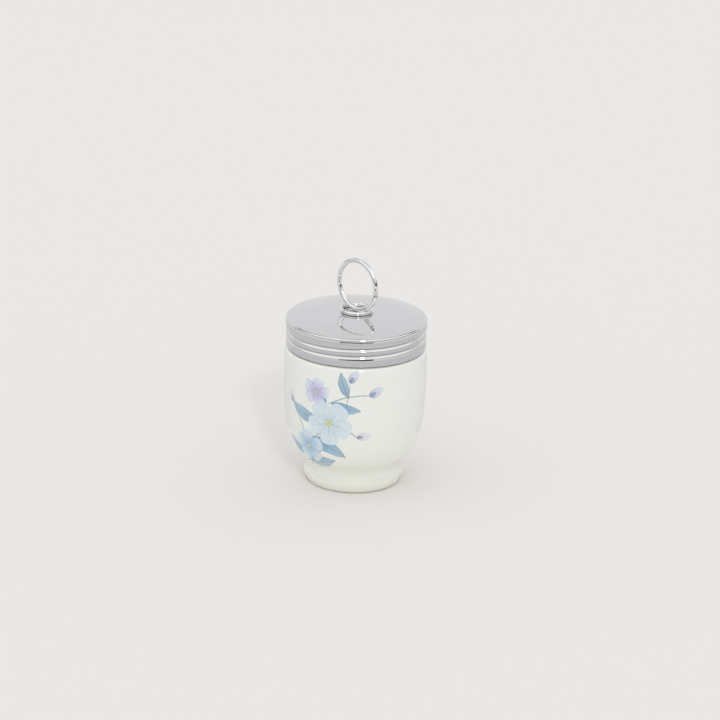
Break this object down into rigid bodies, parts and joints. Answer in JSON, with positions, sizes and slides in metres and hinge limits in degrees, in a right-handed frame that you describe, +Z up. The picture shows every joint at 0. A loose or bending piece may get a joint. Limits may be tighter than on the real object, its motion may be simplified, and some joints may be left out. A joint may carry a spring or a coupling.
{
  "type": "egg coddler",
  "caption": "Porcelain egg coddler: a footed cup with a threaded neck, and a pressed metal screw lid with an upright lifting ring.",
  "frame": {"origin": "middle of the foot, on the surface that the cup stands on", "axes": "+Z up through the middle of the cup and the lid; the lifting ring stands in the XZ plane, so its opening looks along Y"},
  "size_m": [0.0594, 0.0594, 0.0965],
  "materials": {
    "porcelain": "clear gloss glaze over warm white porcelain, with a small floral decoration on the outside of the bowl",
    "lid_metal": "polished stainless sheet, slightly satin from use",
    "wire": "bright polished round wire"
  },
  "bodies": {
    "cup": {"cup": "porcelain"},
    "lid_carrier": {"base_ring": "wire"},
    "lid": {"lid_shell": "lid_metal", "lifting_ring": "wire"}
  },
  "joints": [
    {"name": "lid_rise", "type": "slide", "parent": "cup", "child": "lid_carrier", "axis": [0, 0, 1], "range_m": [0, 0.0136]},
    {"name": "lid_turn", "type": "hinge", "parent": "lid_carrier", "child": "lid", "pos_m": [0, 0, 0], "axis": [0, 0, 1], "range_deg": [0, 1620]}
  ],
  "couplings": [
    {"joint": "lid_rise", "follows": "lid_turn", "m_per_rad": 0.00047746}
  ]
}
